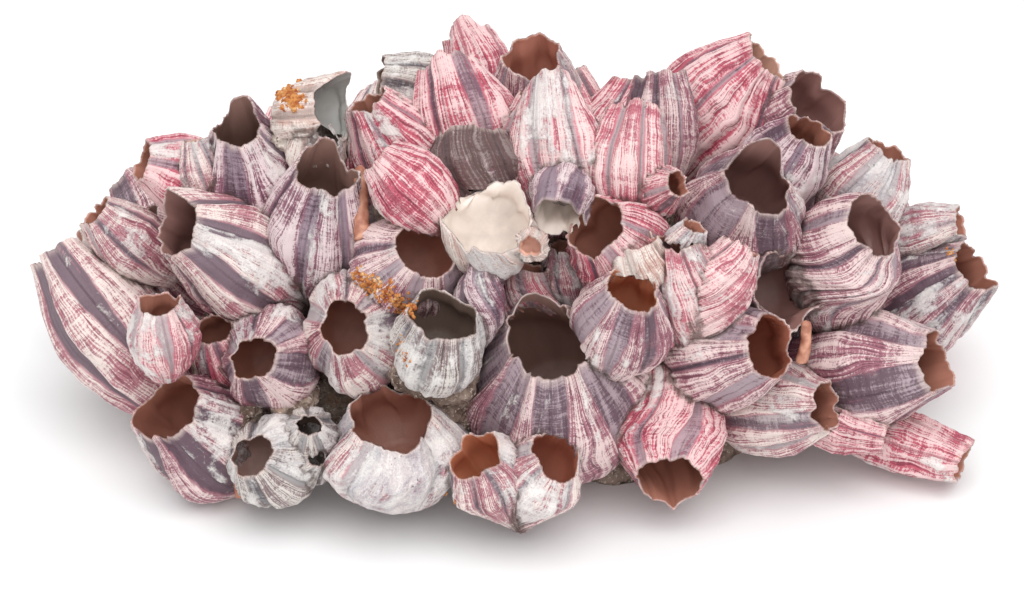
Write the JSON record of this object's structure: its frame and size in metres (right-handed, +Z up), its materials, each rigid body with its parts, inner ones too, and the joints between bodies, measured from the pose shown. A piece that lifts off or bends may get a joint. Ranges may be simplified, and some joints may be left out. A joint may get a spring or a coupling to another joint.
{
  "type": "barnacle cluster",
  "caption": "Decorative cluster of large acorn barnacle shells grown on one another, cut flat underneath to stand on a shelf.",
  "frame": {"origin": "on the flat cut underneath, at the middle of the cluster's bounding box", "axes": "+X along the cluster's length to the end seen on the right, +Y to the back, +Z up from the cut"},
  "size_m": [0.2954, 0.1875, 0.1218],
  "materials": {
    "shell_rose": "chalky rose-red and white ribs between sunken dusky plates, semi-matt",
    "shell_pink": "fine pink and white ribs, semi-matt",
    "shell_mauve": "smooth grey-mauve plates with pink and white ribs, semi-matt",
    "shell_purple": "dusky purple-grey with white ribs, semi-matt",
    "shell_white": "chalk-white crust over pink and mauve ribs, matt",
    "shell_grey": "worn grey-white crust, matt",
    "shell_cream": "smooth cream inside of a broken shell, soft sheen",
    "shell_crust": "gritty grey-brown bed of old shell and sand, matt"
  },
  "bodies": {
    "root": {"front_giant": "shell_mauve", "front_white": "shell_white", "front_hanging": "shell_rose", "heart_pair": "shell_white", "centre_orange_mouth": "shell_mauve", "right_front": "shell_mauve", "right_front_small": "shell_white", "right_lower_big": "shell_mauve", "left_low_gaper": "shell_mauve", "left_low_trio": "shell_grey", "left_front_round": "shell_mauve", "middle_rusty": "shell_white", "middle_crimson": "shell_mauve", "middle_dark_mouth": "shell_grey", "centre_dark_mouth": "shell_rose", "centre_pink_white": "shell_pink", "right_gaper": "shell_mauve", "right_middle_gaper": "shell_mauve", "left_front_tulip": "shell_pink", "left_gaper": "shell_white", "left_middle": "shell_purple", "left_top_purple": "shell_purple", "broken_white": "shell_cream", "bright_pink": "shell_rose", "top_belly": "shell_pink", "purple_cap": "shell_purple", "right_top_front": "shell_purple", "right_top_gaper": "shell_mauve", "far_right": "shell_mauve", "right_low_point": "shell_rose", "far_left_giant": "shell_white", "striped_pink": "shell_pink", "left_upper": "shell_rose", "left_back_small": "shell_white", "pink_left": "shell_rose", "pink_left_lower": "shell_rose", "orange_crusted": "shell_cream", "pink_leaning": "shell_rose", "top_gaper": "shell_mauve", "top_peak": "shell_rose", "grey_back": "shell_grey", "speckled_pink": "shell_pink", "mauve_back_fan": "shell_mauve", "right_white": "shell_white", "right_back_white": "shell_white", "right_hollow": "shell_mauve", "inner_pointed": "shell_purple", "back_low_right": "shell_mauve", "back_low_middle": "shell_rose", "back_low_left": "shell_mauve", "back_left": "shell_pink", "back_end_right": "shell_rose", "back_end_left": "shell_white", "back_mid_right": "shell_pink", "back_mid_middle": "shell_white", "back_mid_left": "shell_rose", "back_high_left": "shell_pink", "back_top_right": "shell_rose", "back_top_left": "shell_mauve", "basal_crust": "shell_crust"}
  },
  "joints": []
}
